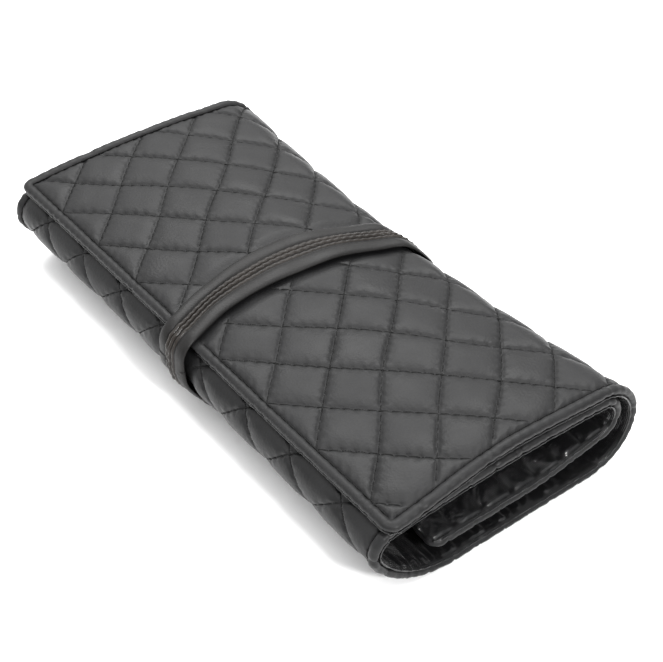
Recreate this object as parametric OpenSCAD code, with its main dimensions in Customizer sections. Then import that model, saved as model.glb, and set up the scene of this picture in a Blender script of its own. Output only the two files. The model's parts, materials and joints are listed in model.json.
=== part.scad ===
// Rolled leather jewellery case, tied round the middle with a folded strap.
// One long padded sheet is rolled up: flap, back fold, bottom, front fold,
// inner top, inner curl and inner end. X runs along the roll, -Y is the front,
// +Z is up, and the origin is in the middle of the underside.

/* [Rolled case] */
// Length of the roll
case_length = 230; // [200:1:260]
// Depth from the front fold to the back fold
case_depth = 118; // [112:1:126]
// Height at the highest part of the flap
case_height = 41; // [40:0.5:43]
// Radius of the flap's gentle crown
crown_r = 550; // [450:10:800]
// Where the crown is highest, back from the middle
crown_y = 5; // [0:1:10]
// Gap between the flap's front edge and the foremost part of the case
flap_setback = 3.5; // [3:0.1:5]

/* [Sheet] */
// Thickness of the quilted leather
leather_t = 1.4; // [1.2:0.1:1.6]
// Thickness of the wadding behind it
wadding_t = 1.4; // [1.2:0.1:1.6]
// Thickness of the lining
lining_t = 0.8; // [0.6:0.1:1]
// Width of the turned hem along the ends
hem_w = 4; // [3:0.5:6]
// How far the lining stops short of the ends
lining_inset = 2; // [1:0.5:4]
// Gap between the flap and the inner roll
nest_gap = 0.9; // [0.8:0.1:1.2]
// Gap where the sheet folds from one panel to the next
fold_gap = 0.3; // [0.3:0.05:0.5]

/* [Folds] */
// Radius of the front fold's upper part
front_r = 9.5; // [9:0.1:10]
// Radius of the front fold's lower part
belly_r = 40; // [38:1:44]
// Radius of the inner curl
curl_r = 9.3; // [9:0.1:9.5]
// How far back the middle of the inner curl lies
curl_y = 41; // [39:0.5:41.5]
// Where the inner end stops, forward of the middle
inner_end_y = 34; // [30:1:35]

/* [Strap] */
// Width of one pass of the strap
strap_w = 11; // [9:0.5:13]
// Thickness of the folded strap
strap_t = 2.2; // [2:0.1:2.4]
// How far the strap stands proud of the leather
strap_proud = 1.2; // [1:0.1:1.4]
// Middle of the two passes along the roll
strap_x = -3; // [-10:1:10]
// Gap between the two passes
strap_gap = 0.4; // [0.3:0.1:1]
// Slack left in the strap where the back fold bends
strap_slack = 1.6; // [1.5:0.1:1.8]

/* [Pockets and zips] */
// Length of the pockets and zips
pocket_length = 204; // [180:1:206]
// Height of a pocket panel
pocket_t = 1.6; // [1.4:0.1:1.8]
// Width of a zip tape
tape_w = 16; // [14:1:18]
// Thickness of a zip tape
tape_t = 0.6; // [0.5:0.1:0.7]
// Width of the closed teeth
teeth_w = 4; // [3.5:0.5:4.5]
// Height of the teeth
teeth_t = 1.2; // [1:0.1:1.4]
// Length of a zip slider
slider_l = 9; // [8:0.5:10]
// Length of a slider's pull
pull_l = 16; // [12:1:20]

/* [Ring bar] */
// Radius of the padded ring bar
bar_r = 5.6; // [5:0.1:6]
// Length of the ring bar
bar_length = 184; // [160:1:186]
// Length of the snap tab at its open end
tab_l = 17; // [15:1:18]
// Width of the snap tab
tab_w = 8; // [7:0.5:8]
// Where round the belly the bar lies
bar_angle = 230; // [229:0.5:231]

/* [Hidden] */
$fn = 48;

black = [0.11, 0.11, 0.12];
lining_black = [0.05, 0.05, 0.055];
foam_grey = [0.55, 0.55, 0.56];
nickel = [0.72, 0.72, 0.7];

sheet_t = leather_t + wadding_t + lining_t;
half_l = case_length / 2;
front_y = -case_depth / 2;
back_y = case_depth / 2;
flap_y = front_y + flap_setback;

// The crown's centre, and the inner roll's crown on the same centre
crown_c = [crown_y, case_height - crown_r];
inner_crown_r = crown_r - sheet_t - nest_gap;

// The back fold touches the floor, the back and the crown
back_b = 2 * (2 * crown_r - case_height) - 2 * (back_y - crown_y);
back_k = pow(back_y - crown_y, 2) - case_height * (2 * crown_r - case_height);
back_r = (-back_b + sqrt(back_b * back_b - 4 * back_k)) / 2;
back_c = [back_y - back_r, back_r];
back_a = angle_of(back_c - crown_c);

// The front fold: a small upper arc runs on into a large lower one, the belly
front_c = under_crown(front_y + front_r, front_r);
belly_c = [
    front_c[0] + sqrt(pow(belly_r - front_r, 2) - pow(belly_r - front_c[1], 2)), belly_r
];
belly_a = angle_of(front_c - belly_c);
front_a = angle_of(front_c - crown_c);

// The inner curl hangs under the inner roll's crown
curl_c = under_crown(curl_y, curl_r);
curl_a = angle_of(curl_c - crown_c);

flap_a = 90 + asin((crown_y - flap_y) / crown_r);
link_a = 60;

// Each stretch of the sheet: arcs of [centre, outer radius, first angle, last angle]
base_run = [
    [back_c, back_r, -link_a - gap_a(back_r), -90],
    [belly_c, belly_r, 270, belly_a],
    [front_c, front_r, belly_a, 180 + gap_a(front_r)]
];
fold_lower_run = [[back_c, back_r, -gap_a(back_r), -link_a + gap_a(back_r)]];
fold_upper_run = [[back_c, back_r, link_a - gap_a(back_r), gap_a(back_r)]];
flap_run = [
    [crown_c, crown_r, flap_a, back_a],
    [back_c, back_r, back_a, link_a + gap_a(back_r)]
];
inner_top_run = [
    [front_c, front_r, 180 - gap_a(front_r), front_a],
    [crown_c, inner_crown_r, front_a, curl_a],
    [curl_c, curl_r, curl_a, gap_a(curl_r)]
];
inner_end_run = [
    [curl_c, curl_r, -gap_a(curl_r), -90],
    [[-inner_end_y, curl_c[1]], curl_r, -90, -90]
];

// The strap's outer surface on each stretch. A seat is this much deeper than what lies in it
seat_clear = 0.05;
strap_back_r = back_r + strap_proud;
strap_heel_r = (back_c[1] - strap_back_r * sin(link_a)) / (1 - sin(link_a));
strap_front_r = front_r + strap_proud;
strap_belly_r = (front_c[1] + strap_front_r * sin(belly_a)) / (1 + sin(belly_a));
strap_nose_r = 8;
strap_nose_y = front_c[0] - strap_front_r + strap_nose_r;
strap_nose_c = [
    strap_nose_y,
    crown_c[1] + sqrt(pow(crown_r + strap_proud - strap_nose_r, 2) - pow(strap_nose_y - crown_y, 2))
];
strap_base_run = [
    [back_c + (strap_back_r - strap_heel_r) * dir(-link_a), strap_heel_r,
        -link_a - slack_a(strap_heel_r), -90],
    [front_c + (strap_front_r - strap_belly_r) * dir(belly_a), strap_belly_r, 270, belly_a],
    [front_c, strap_front_r, belly_a, 180 + gap_a(front_r)]
];
strap_fold_lower_run = [[back_c, strap_back_r, -slack_a(back_r), -link_a + slack_a(back_r)]];
strap_fold_upper_run = [[back_c, strap_back_r, link_a - slack_a(back_r), slack_a(back_r)]];
strap_flap_run = [
    [[strap_nose_y, front_c[1]], strap_nose_r, 180, 180],
    [strap_nose_c, strap_nose_r, 180, angle_of(strap_nose_c - crown_c)],
    [crown_c, crown_r + strap_proud, angle_of(strap_nose_c - crown_c), back_a],
    [back_c, strap_back_r, back_a, link_a + slack_a(back_r)]
];
strap_x0 = strap_x - strap_w - strap_gap / 2;
strap_x1 = strap_x + strap_w + strap_gap / 2;
channel_side = 0.6;
tail_t = 1.4;
tail_w = 7;

// Pockets, zips and the ring bar
base_pocket_y = [-16, 34];
base_zip_y = 18;
end_pocket_y = [-30, 34];
end_zip_y = 20;
pouch_y = [-34, 8];
elastic_w = 5;
base_floor_z = sheet_t;
end_floor_z = curl_c[1] - curl_r + sheet_t;
slider_w = 8;
slider_t = 3.4;
slider_clear = 0.2;
slider_x = -pocket_length / 2 + slider_l / 2 + 4;
pull_w = 3.4;
pull_t = 1;
pull_eye_r = 0.95;
pull_hole_r = 0.65;
hanger_r = 0.6;
hanger_x = slider_l / 2 - 1.7;
hanger_z = 1;
lug_y = 2.6;
lug_t = 1;
lug_l = 2.6;
lug_h = 1.7;
bar_rho = belly_r - sheet_t - fold_gap - bar_r;
bar_end_r = 4.5;
bar_x0 = -half_l + 18;
bar_x1 = bar_x0 + bar_length;
anchor_t = 0.7;
anchor_l = 9.7;
tab_t = 1;
tab_gap = 0.9;
stud_t = 0.8;
snap_r = 3.2;
rivet_r = 1.2;
snap_x = bar_x1 + tab_l - 4;
tab_rho = belly_r - sheet_t - stud_t - fold_gap - 0.5;

function dir(a) = [cos(a), sin(a)];
function angle_of(v) = (atan2(v[1], v[0]) + 360) % 360;
function gap_a(r) = fold_gap / 2 / r * 180 / PI;
function slack_a(r) = strap_slack / 2 / r * 180 / PI;
// Centre of an arc of radius r that lies inside the inner crown at depth y
function under_crown(y, r) = [
    y, crown_c[1] + sqrt(pow(inner_crown_r - r, 2) - pow(y - crown_y, 2))
];
function arc_step(r) = r > 100 ? 1.2 : 5;
function arc_points(arc, inset) =
    let (n = max(1, ceil(abs(arc[2] - arc[3]) / arc_step(arc[1]))))
    [for (i = [0 : arc[2] == arc[3] ? 0 : n])
        arc[0] + (arc[1] - inset) * dir(arc[2] + (arc[3] - arc[2]) * i / n)];
function trace(run, inset) = [for (arc = run) each arc_points(arc, inset)];
function reversed(list) = [for (i = [len(list) - 1 : -1 : 0]) list[i]];

// A profile in the Y-Z plane, drawn out along X
module along_x(x0, x1) {
    translate([x0, 0, 0]) rotate([90, 0, 90]) linear_extrude(x1 - x0) children();
}

// The layer of a run between two depths below its outer surface
module layer(run, outer, inner) {
    polygon(concat(trace(run, outer), reversed(trace(run, inner))));
}

// The space the two strap passes take out of the leather under them, run past both ends
module strap_space(strap_run) {
    last = len(strap_run) - 1;
    past_ends = [for (i = [0 : last]) let (arc = strap_run[i])
        [arc[0], arc[1], arc[2] + (i == 0 ? 3 : 0), arc[3] - (i == last ? 3 : 0)]];
    along_x(strap_x0 - 0.1, strap_x1 + 0.1) layer(past_ends, -4, strap_t + seat_clear);
}

// Quilted leather with its turned hems, and a pressed-in seat for the strap
module leather(run, strap_run = []) {
    color(black) difference() {
        union() {
            along_x(-half_l, half_l) layer(run, 0, leather_t);
            for (side = [-1, 1])
                along_x(side * (half_l - hem_w / 2) - hem_w / 2, side * (half_l - hem_w / 2) + hem_w / 2)
                    layer(run, leather_t, leather_t + wadding_t);
            if (len(strap_run) > 0)
                along_x(strap_x0 - channel_side, strap_x1 + channel_side)
                    layer(run, leather_t, leather_t + wadding_t);
        }
        if (len(strap_run) > 0) strap_space(strap_run);
    }
}

// Wadding, one pad each side of the strap's seat
module wadding(run, split = true) {
    x_end = half_l - hem_w;
    color(foam_grey)
        if (split) {
            along_x(-x_end, strap_x0 - channel_side) layer(run, leather_t, leather_t + wadding_t);
            along_x(strap_x1 + channel_side, x_end) layer(run, leather_t, leather_t + wadding_t);
        } else
            along_x(-x_end, x_end) layer(run, leather_t, leather_t + wadding_t);
}

module lining(run) {
    color(lining_black) along_x(-half_l + lining_inset, half_l - lining_inset)
        layer(run, leather_t + wadding_t, sheet_t);
}

// One pass of the strap on one stretch; side -1 is the far pass, 1 the near one
module strap(strap_run, side) {
    x_mid = strap_x + side * (strap_w + strap_gap) / 2;
    color(black) along_x(x_mid - strap_w / 2, x_mid + strap_w / 2)
        layer(strap_run, 0, strap_t);
}

module base_leather() leather(base_run, strap_base_run);
module base_wadding() wadding(base_run);
module base_lining() lining(base_run);
module fold_lower_leather() leather(fold_lower_run, strap_fold_lower_run);
module fold_lower_wadding() wadding(fold_lower_run);
module fold_lower_lining() lining(fold_lower_run);
module fold_upper_leather() leather(fold_upper_run, strap_fold_upper_run);
module fold_upper_wadding() wadding(fold_upper_run);
module fold_upper_lining() lining(fold_upper_run);
module flap_leather() leather(flap_run, strap_flap_run);
module flap_wadding() wadding(flap_run);
module flap_lining() lining(flap_run);
module inner_top_wadding() wadding(inner_top_run);
module inner_top_lining() lining(inner_top_run);
module inner_end_leather() leather(inner_end_run);
module inner_end_wadding() wadding(inner_end_run, split = false);
module inner_end_lining() lining(inner_end_run);

// The front fold's upper quarter is pressed in under the strap
module inner_top_leather() {
    seat_run = [[front_c, front_r, 180, 110]];
    color(black) difference() {
        union() {
            leather(inner_top_run);
            along_x(strap_x0 - channel_side, strap_x1 + channel_side)
                layer(inner_top_run, leather_t, leather_t + wadding_t);
        }
        along_x(strap_x0 - 0.4, strap_x1 + 0.4)
            layer(seat_run, -4, strap_t - strap_proud + fold_gap);
    }
}

module strap_base_far() strap(strap_base_run, -1);
module strap_base_near() strap(strap_base_run, 1);
module strap_fold_lower_far() strap(strap_fold_lower_run, -1);
module strap_fold_lower_near() strap(strap_fold_lower_run, 1);
module strap_fold_upper_far() strap(strap_fold_upper_run, -1);
module strap_fold_upper_near() strap(strap_fold_upper_run, 1);
module strap_flap_far() strap(strap_flap_run, -1);
module strap_flap_near() strap(strap_flap_run, 1);

// The strap's end, tucked in beside the near pass low on the front fold
module strap_tail() {
    tail_run = [[belly_c, belly_r + tail_t + seat_clear, 232, 222]];
    color(black) along_x(strap_x1 + 0.1, strap_x1 + tail_w) layer(tail_run, 0, tail_t);
}

// A flat box between two depths y[0] and y[1], centred along X
module slab(y, z, t, l) {
    translate([-l / 2, y[0], z]) cube([l, y[1] - y[0], t]);
}

module zip_tape(y, z) {
    color(lining_black) slab([y - tape_w / 2, y + tape_w / 2], z, tape_t, pocket_length);
}

module zip_teeth(y, z) {
    color(nickel) slab([y - teeth_w / 2, y + teeth_w / 2], z + tape_t, teeth_t, pocket_length - 6);
}

// A slider straddles the teeth and has a bar across its top for the pull
module zip_slider(y, z) {
    top = z + tape_t + slider_t;
    color(nickel) translate([slider_x, y, 0]) {
        difference() {
            translate([-slider_l / 2, -slider_w / 2, z + tape_t + slider_clear])
                cube([slider_l, slider_w, slider_t - slider_clear]);
            translate([-slider_l, -teeth_w / 2 - slider_clear, z])
                cube([2 * slider_l, teeth_w + 2 * slider_clear, tape_t + teeth_t + slider_clear]);
        }
        for (side = [-1, 1])
            translate([hanger_x - lug_l / 2, side * lug_y - lug_t / 2, top]) cube([lug_l, lug_t, lug_h]);
        translate([hanger_x, 0, top + hanger_z]) rotate([90, 0, 0])
            cylinder(r = hanger_r, h = 2 * lug_y, center = true);
    }
}

// A flat metal pull, hung on the slider's bar
module zip_pull(y, z) {
    pivot_x = slider_x + hanger_x;
    pivot_z = z + tape_t + slider_t + hanger_z;
    color(nickel) translate([pivot_x, y, pivot_z]) rotate([90, 0, 0]) difference() {
        linear_extrude(pull_w, center = true) union() {
            circle(r = pull_eye_r);
            translate([0, -pull_t / 2]) square([pull_l, pull_t]);
        }
        cylinder(r = pull_hole_r, h = pull_w + 1, center = true);
    }
}

module base_pocket() {
    color(lining_black) slab(base_pocket_y, base_floor_z, pocket_t, pocket_length);
}
module base_zip_tape() zip_tape(base_zip_y, base_floor_z + pocket_t);
module base_zip_teeth() zip_teeth(base_zip_y, base_floor_z + pocket_t);
module base_zip_slider() zip_slider(base_zip_y, base_floor_z + pocket_t);
module base_zip_pull() zip_pull(base_zip_y, base_floor_z + pocket_t);

module end_pocket() {
    color(lining_black) slab(end_pocket_y, end_floor_z, pocket_t, pocket_length);
}
module end_zip_tape() zip_tape(end_zip_y, end_floor_z + pocket_t);
module end_zip_teeth() zip_teeth(end_zip_y, end_floor_z + pocket_t);
module end_zip_slider() zip_slider(end_zip_y, end_floor_z + pocket_t);
module end_zip_pull() zip_pull(end_zip_y, end_floor_z + pocket_t);

// Part of the inner roll's crown between two depths
function crown_run(y) = [[
    crown_c, inner_crown_r, 90 + asin((crown_y - y[0]) / crown_r), 90 + asin((crown_y - y[1]) / crown_r)
]];

// A gathered pouch on the underside of the inner top
module top_pouch() {
    color(lining_black) along_x(-pocket_length / 2, pocket_length / 2)
        layer(crown_run(pouch_y), sheet_t + seat_clear, sheet_t + pocket_t);
}

// The elastic in the pouch's mouth
module top_pouch_elastic() {
    color(lining_black) along_x(-pocket_length / 2, pocket_length / 2)
        layer(crown_run([pouch_y[1], pouch_y[1] + elastic_w]), sheet_t + seat_clear, sheet_t + 2 * pocket_t);
}

// Place a shape lying on the belly's lining: X along the roll, Y round it, Z inwards
module on_belly(rho) {
    translate([0, belly_c[0], belly_c[1]]) rotate([bar_angle - 270, 0, 0])
        translate([0, 0, -rho]) children();
}

module ring_bar() {
    color(black) on_belly(bar_rho) translate([bar_x0, 0, 0]) rotate([0, 90, 0]) union() {
        translate([0, 0, bar_r / 2]) cylinder(r = bar_r, h = bar_length - bar_r);
        cylinder(r = bar_end_r, h = bar_length);
    }
}

// The bar's sewn end
module ring_bar_anchor() {
    color(black) on_belly(belly_r - sheet_t - anchor_t - 0.2)
        translate([bar_x0 - anchor_l - fold_gap, -tab_w / 2, 0]) cube([anchor_l, tab_w, anchor_t]);
}

// The tab that snaps the bar's open end down
module ring_bar_tab() {
    color(black) on_belly(tab_rho) difference() {
        translate([bar_x1 + tab_gap, -tab_w / 2, 0]) cube([tab_l, tab_w, tab_t]);
        translate([snap_x, 0, -1]) cylinder(r = rivet_r, h = tab_t + 2);
    }
}

module snap_cap() {
    color(nickel) on_belly(tab_rho - tab_t) translate([snap_x, 0, 0]) union() {
        cylinder(r = snap_r, h = stud_t);
        translate([0, 0, -tab_t]) cylinder(r = rivet_r, h = tab_t + stud_t / 2);
    }
}

module snap_stud() {
    color(nickel) on_belly(belly_r - sheet_t - 0.4)
        translate([snap_x, 0, 0]) cylinder(r = snap_r - 0.4, h = stud_t - fold_gap);
}

base_leather();
base_wadding();
base_lining();
fold_lower_leather();
fold_lower_wadding();
fold_lower_lining();
fold_upper_leather();
fold_upper_wadding();
fold_upper_lining();
flap_leather();
flap_wadding();
flap_lining();
inner_top_leather();
inner_top_wadding();
inner_top_lining();
inner_end_leather();
inner_end_wadding();
inner_end_lining();
strap_base_far();
strap_base_near();
strap_fold_lower_far();
strap_fold_lower_near();
strap_fold_upper_far();
strap_fold_upper_near();
strap_flap_far();
strap_flap_near();
strap_tail();
base_pocket();
base_zip_tape();
base_zip_teeth();
base_zip_slider();
base_zip_pull();
end_pocket();
end_zip_tape();
end_zip_teeth();
end_zip_slider();
end_zip_pull();
top_pouch();
top_pouch_elastic();
ring_bar();
ring_bar_anchor();
ring_bar_tab();
snap_cap();
snap_stud();
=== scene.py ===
# A soft travel case for jewellery: one quilted leather sheet, lined, rolled up and tied round the
# middle with a folded strap. Lengths in the sections below are in millimetres and are written to
# the meshes in metres. X runs along the roll, -Y is the front and the case lies on Z = 0.
import bpy
import json
import math
import numpy as np
from mathutils import Matrix, Vector


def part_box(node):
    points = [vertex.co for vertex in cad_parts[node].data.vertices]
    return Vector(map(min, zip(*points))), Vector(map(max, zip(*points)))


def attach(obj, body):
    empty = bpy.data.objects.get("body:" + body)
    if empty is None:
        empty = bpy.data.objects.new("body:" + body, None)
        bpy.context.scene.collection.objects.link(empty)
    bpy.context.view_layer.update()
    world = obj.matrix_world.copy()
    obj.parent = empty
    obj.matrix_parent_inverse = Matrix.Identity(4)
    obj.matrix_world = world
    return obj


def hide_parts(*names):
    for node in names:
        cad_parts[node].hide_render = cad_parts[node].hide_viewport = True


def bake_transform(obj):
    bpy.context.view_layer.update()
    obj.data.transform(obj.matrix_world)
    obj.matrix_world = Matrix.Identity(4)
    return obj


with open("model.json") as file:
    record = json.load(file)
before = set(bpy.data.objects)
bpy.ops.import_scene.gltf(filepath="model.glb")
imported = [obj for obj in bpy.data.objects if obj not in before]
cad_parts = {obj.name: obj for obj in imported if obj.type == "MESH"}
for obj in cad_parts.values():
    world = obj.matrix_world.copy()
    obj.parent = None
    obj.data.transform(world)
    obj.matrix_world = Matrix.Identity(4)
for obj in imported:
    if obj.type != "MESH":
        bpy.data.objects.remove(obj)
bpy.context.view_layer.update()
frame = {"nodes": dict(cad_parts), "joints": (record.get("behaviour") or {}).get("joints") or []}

# ---------------------------------------------------------------------------------------------
# Camera. A short telephoto, well back from the case, looking down over the near end of the roll so
# that the quilted top, the front and the rolled end all show.
camera_lens = bpy.data.cameras.new("studio_camera")
camera_lens.sensor_width = 36.0
camera_lens.lens = 78.86
camera_lens.clip_end = 20.0
camera = bpy.data.objects.new("studio_camera", camera_lens)
view_right = Vector((0.60939, 0.79285, 0.00525))
view_down = Vector((0.51798, -0.39309, -0.75972))
view_ahead = Vector((-0.60028, 0.46568, -0.65023))
camera.matrix_world = (
    Matrix.Translation((0.33805, -0.24892, 0.36896))
    @ Matrix((view_right, -view_down, -view_ahead)).transposed().to_4x4()
)
bpy.context.collection.objects.link(camera)
bpy.context.scene.camera = camera

# ---------------------------------------------------------------------------------------------
# Table and light. A white table top under a big soft box overhead and another over the back, a
# small bright lamp past the near end, and a room that is pale overhead and dim at the walls.
def plain_material(name, colour, roughness):
    finish = bpy.data.materials.new(name)
    finish.use_nodes = True
    shader = finish.node_tree.nodes["Principled BSDF"]
    shader.inputs["Base Color"].default_value = (*colour, 1.0)
    shader.inputs["Roughness"].default_value = roughness
    return finish


def add_node(owner, kind, settings=None, **values):
    """A new node in a material or a world, with its settings and its inputs given by name."""
    made = owner.node_tree.nodes.new(kind)
    for name, value in (settings or {}).items():
        setattr(made, name, value)
    for name, value in values.items():
        made.inputs[name.replace("_", " ")].default_value = value
    return made


def soft_box(name, place, aim, size, watts):
    lamp = bpy.data.lights.new(name, "AREA")
    lamp.shape = "RECTANGLE"
    lamp.size, lamp.size_y = size
    lamp.energy = watts
    holder = bpy.data.objects.new(name, lamp)
    holder.location = place
    holder.rotation_euler = (Vector(aim) - Vector(place)).to_track_quat("-Z", "Y").to_euler()
    bpy.context.collection.objects.link(holder)


table_mesh = bpy.data.meshes.new("table_top")
table_mesh.from_pydata([(-6, -6, 0), (6, -6, 0), (6, 6, 0), (-6, 6, 0)], [], [(0, 1, 2, 3)])
table_top = bpy.data.objects.new("table_top", table_mesh)
table_mesh.materials.append(plain_material("table_white", (0.93, 0.93, 0.93), 0.9))
bpy.context.collection.objects.link(table_top)

soft_box("back_box", (-0.55, 0.5, 0.95), (0, 0, 0.02), (0.8, 0.6), 8.0)
soft_box("top_box", (0.15, -0.1, 1.25), (0, 0, 0.0), (1.2, 1.2), 9.5)
soft_box("near_box", (0.8, -0.12, 0.62), (0.1, 0, 0.02), (0.10, 0.10), 7.0)

room = bpy.data.worlds.new("pale_room")
room.use_nodes = True
room_way = add_node(room, "ShaderNodeTexCoord")
room_side = add_node(room, "ShaderNodeVectorMath", {"operation": "DOT_PRODUCT"})
room_side.inputs[1].default_value = (-0.25, 0.0, 0.97)
room_tone = add_node(room, "ShaderNodeValToRGB")
room_tone.color_ramp.elements[0].position = 0.0
room_tone.color_ramp.elements[0].color = (0.28, 0.28, 0.28, 1.0)
room_tone.color_ramp.elements[1].position = 0.8
room_tone.color_ramp.elements[1].color = (1.9, 1.9, 1.9, 1.0)
room_light = room.node_tree.nodes["Background"]
room_light.inputs["Strength"].default_value = 1.0
room.node_tree.links.new(room_way.outputs["Generated"], room_side.inputs[0])
room.node_tree.links.new(room_side.outputs["Value"], room_tone.inputs["Fac"])
room.node_tree.links.new(room_tone.outputs["Color"], room_light.inputs["Color"])
bpy.context.scene.world = room
bpy.context.scene.view_settings.view_transform = "Standard"

# ---------------------------------------------------------------------------------------------
# The quilted sheet. Soft black leather over wadding, sewn through in diamonds, in one run: flap,
# back fold, bottom, front fold, inner top, inner curl and inner end. Each stretch between two
# stiff panels is one piece that runs over the fold between them, with a rolled hem along its ends.
MM = 0.001
fold_at = {j["name"]: np.array(j["pos_m"]) / MM for j in frame["joints"] if "pos_m" in j}
case_half = 115.0
sheet_t = 3.6
quilt_pitch, quilt_shift = 27.0, 6.3
stitch_pitch = 4.1
gather_pitch, gather_small = 11.3, 4.3
hem_in = 4.1
flap_box = [np.array(corner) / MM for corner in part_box("flap_leather")]

back_r = fold_at["fold_upper_unroll"][2]
back_c = np.array((fold_at["fold_upper_unroll"][1] - back_r, back_r))
crown_r = 550.0
crown_c = np.array((5.0, flap_box[1][2] - crown_r))
inner_crown_r = crown_r - sheet_t - 0.9
front_r, belly_r, curl_r = 9.5, 40.0, 9.3
front_c = fold_at["inner_roll_lift"][1:] + np.array((front_r, 0.0))
belly_c = np.array((
    front_c[0] + math.sqrt((belly_r - front_r) ** 2 - (belly_r - front_c[1]) ** 2), belly_r
))
curl_c = fold_at["inner_end_unroll"][1:] - np.array((curl_r, 0.0))


def slope_of(v):
    return math.degrees(math.atan2(v[1], v[0])) % 360


back_a = slope_of(back_c - crown_c)
belly_a = slope_of(front_c - belly_c)
front_a = slope_of(front_c - crown_c)
curl_a = slope_of(curl_c - crown_c)
flap_a = 90 + math.degrees(math.asin((crown_c[0] - flap_box[0][1]) / crown_r))


class Course:
    """A line of arcs and flats in the Y-Z plane, measured along its outer side."""

    def __init__(self, stretches):
        along, y, z, slope = [0.0], [], [], []
        for centre, radius, first, last, flat in stretches:
            count = max(2, int(abs(first - last) / 1.5) + 2) if not flat else 2
            for i in range(count):
                turn = i / (count - 1)
                a = first + (last - first) * turn
                r = math.radians(a)
                here = (centre[0] + radius * math.cos(r) + flat * turn, centre[1] + radius * math.sin(r))
                if y:
                    step = math.hypot(here[0] - y[-1], here[1] - z[-1])
                    if not flat and i:
                        step = radius * math.radians(abs(last - first)) / (count - 1)
                    along.append(along[-1] + max(step, 1e-6))
                y.append(here[0])
                z.append(here[1])
                slope.append(a)
        self.along, self.y, self.z = np.array(along), np.array(y), np.array(z)
        self.slope = np.radians(np.array(slope))
        self.length = along[-1]

    def at(self, s, depth):
        """Y and Z of points a given depth under the outer side."""
        inside = np.clip(s, 0, self.length)
        a = np.interp(inside, self.along, self.slope)
        y = np.interp(inside, self.along, self.y) + (s - inside) * np.sin(a)
        z = np.interp(inside, self.along, self.z) - (s - inside) * np.cos(a)
        return y - depth * np.cos(a), z - depth * np.sin(a)


sheet_course = Course([
    (crown_c, crown_r, flap_a, back_a, 0),
    (back_c, back_r, back_a, -90, 0),
    ((back_c[0], 0), 0, -90, -90, belly_c[0] - back_c[0]),
    (belly_c, belly_r, -90, belly_a - 360, 0),
    (front_c, front_r, belly_a - 360, front_a - 360, 0),
    (crown_c, inner_crown_r, front_a - 360, curl_a - 360, 0),
    (curl_c, curl_r, curl_a - 360, -450, 0),
    ((curl_c[0], curl_c[1] - curl_r), 0, -450, -450, -34.0 - curl_c[0]),
])


def course_place(slope_deg, course=sheet_course):
    """How far along the course the sheet first has this slope."""
    return float(np.interp(-math.radians(slope_deg), -course.slope, course.along))


s_back_top = course_place(back_a - 0.01)
s_mid_upper = course_place(30)
s_mid_lower = course_place(-30)
s_bottom = course_place(-89.99) + back_c[0]
s_belly = course_place(-90.01)
s_front_pivot = course_place(-180)
s_inner_top = course_place(-360 + 90 + math.degrees(math.asin(crown_c[0] / inner_crown_r)))
s_curl_pivot = course_place(-360)
s_end = sheet_course.length


def smooth(low, high, value):
    t = np.clip((value - low) / (high - low), 0, 1)
    return t * t * (3 - 2 * t)


waist_x, waist_down, waist_back, waist_front = 5.0, 4.2, 5.0, 0.9


def tied_in(x, y, z):
    """The strap draws the back of the roll in, most at the middle and not at all at the ends."""
    side = np.where(
        x > waist_x, (x - waist_x) / (case_half - waist_x), (waist_x - x) / (case_half + waist_x)
    )
    draw = np.clip(1 - 0.25 * side - 0.75 * side ** 2, 0, 1)
    dz = -waist_down * smooth(8, 42, y) * smooth(8, 36, z)
    dy = -waist_back * smooth(36, 56, y) * smooth(0, 22, z)
    dy = dy + waist_front * smooth(-46, -58, y) * smooth(2, 14, z)
    return y + draw * dy, z + draw * dz


flare_out, flare_up, arch_up = 3.0, 0.8, 1.3
end_sag, end_corner_sag = 1.0, 4.0
floor_gap, floor_ease = 0.05, 0.6


def on_sheet(x, s, depth):
    """Points in the case, from the place along the roll, the place along the sheet and the depth."""
    y, z = sheet_course.at(s, depth)
    y, z = tied_in(x, y, z)
    lift = smooth(40, 115, x) * (1 - smooth(-4, 60, s))
    x = x + flare_out * lift
    arch = smooth(75, 115, x) * smooth(8, 45, s) * (1 - smooth(50, 92, s))
    z = np.where(s < 95, z + flare_up * lift + arch_up * arch, z)
    z = z - end_sag * smooth(s_end - 75, s_end - 30, s) - (
        end_corner_sag * smooth(92, 114, np.abs(x)) * smooth(s_end - 82, s_end - 45, s)
    )
    low = np.where((s > s_mid_lower) & (s < s_front_pivot), floor_gap, -9.0)
    pressed = low + floor_ease * np.exp(np.clip((z - low - floor_ease) / floor_ease, -20, 0))
    z = np.where(z < low + floor_ease, pressed, z)
    return np.stack((x, y, z), axis=-1) * MM


# Where the strap runs over the sheet: its far and near edge along the roll, by place along the sheet
strap_s = np.array([
    -30, 1.7, 5.2, 18, 21, 33, 45, 48, 61, 64, 78, 81, 97, 107, 115, 135,
    s_front_pivot - 34, s_front_pivot - 16, s_front_pivot, 320.0,
])
strap_far = np.array([
    -7.6, -6.6, -7.4, -12.4, -13, -15.8, -17.8, -18.2, -17.6, -17.2,
    -15, -14.4, -10.8, -8.2, -6.6, -5, -5, -6, -7.6, -7.6,
])
strap_near = np.array([
    8.8, 9.2, 8.6, 4.2, 3.2, 1.8, 1.8, 1.9, 3, 3.3, 4.6, 4.9, 7.4, 10.6, 12.6, 13.5, 14.5, 13.0, 9.2, 8.8,
])
strap_fine = np.arange(-40, 310, 1.0)
strap_soften = np.hanning(17) / np.hanning(17).sum()


def strap_edges(s):
    """The strap's far and near edge at places along the sheet, with the turns between them eased."""
    edges = [np.interp(strap_fine, strap_s, edge) for edge in (strap_far, strap_near)]
    edges = [np.convolve(np.pad(edge, 8, mode="edge"), strap_soften, "valid") for edge in edges]
    return tuple(np.interp(s, strap_fine, edge) for edge in edges)


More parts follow.
